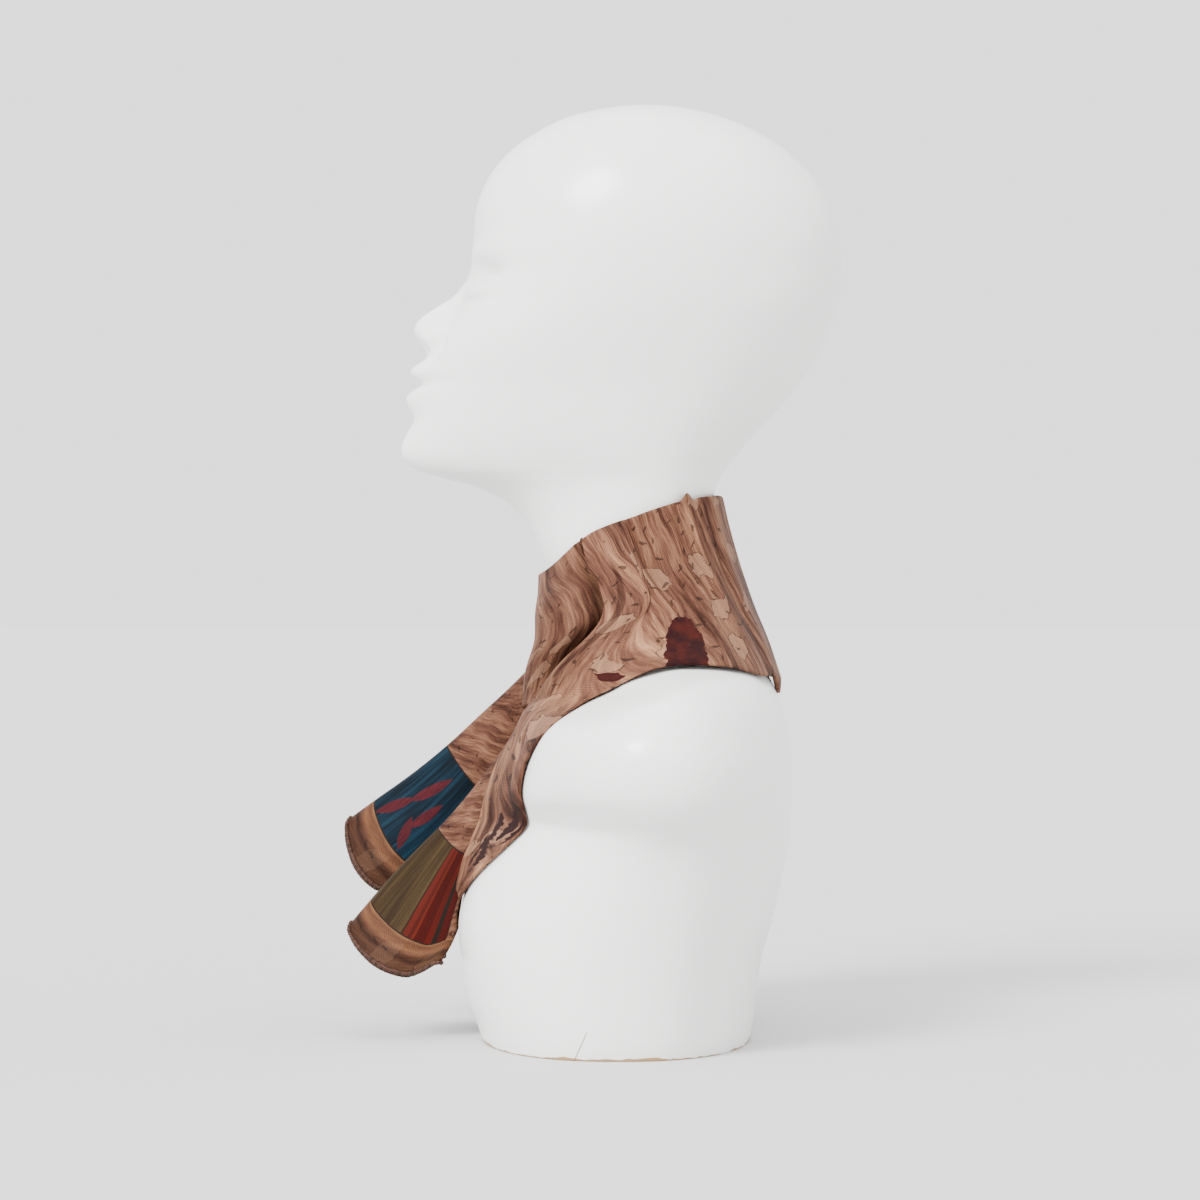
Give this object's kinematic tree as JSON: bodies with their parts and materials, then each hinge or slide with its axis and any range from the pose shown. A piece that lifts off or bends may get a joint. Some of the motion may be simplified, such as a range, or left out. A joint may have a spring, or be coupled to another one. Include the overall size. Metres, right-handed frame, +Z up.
{
  "type": "foulard on a display bust",
  "caption": "A folded silk foulard in printed brown twill wound round the neck of a white limbless display bust, its two ends standing out in front, one blue and one olive and orange.",
  "frame": {"origin": "middle of the bust's flat base", "axes": "+Z up, the bust faces -Y and its left side is +X"},
  "size_m": [0.348, 0.2523, 0.4636],
  "materials": {
    "bust_paint": "gloss white",
    "silk_twill": "satin, printed in browns",
    "silk_twill_blue": "satin, printed blue with brown borders",
    "silk_twill_olive": "satin, printed olive and orange with brown borders"
  },
  "bodies": {
    "root": {"display_bust": "bust_paint", "foulard_collar": "silk_twill", "foulard_front_fold": "silk_twill", "foulard_lapel_left": "silk_twill", "foulard_lapel_right": "silk_twill", "foulard_end_near": "silk_twill_olive", "foulard_end_far": "silk_twill_blue"}
  },
  "joints": []
}
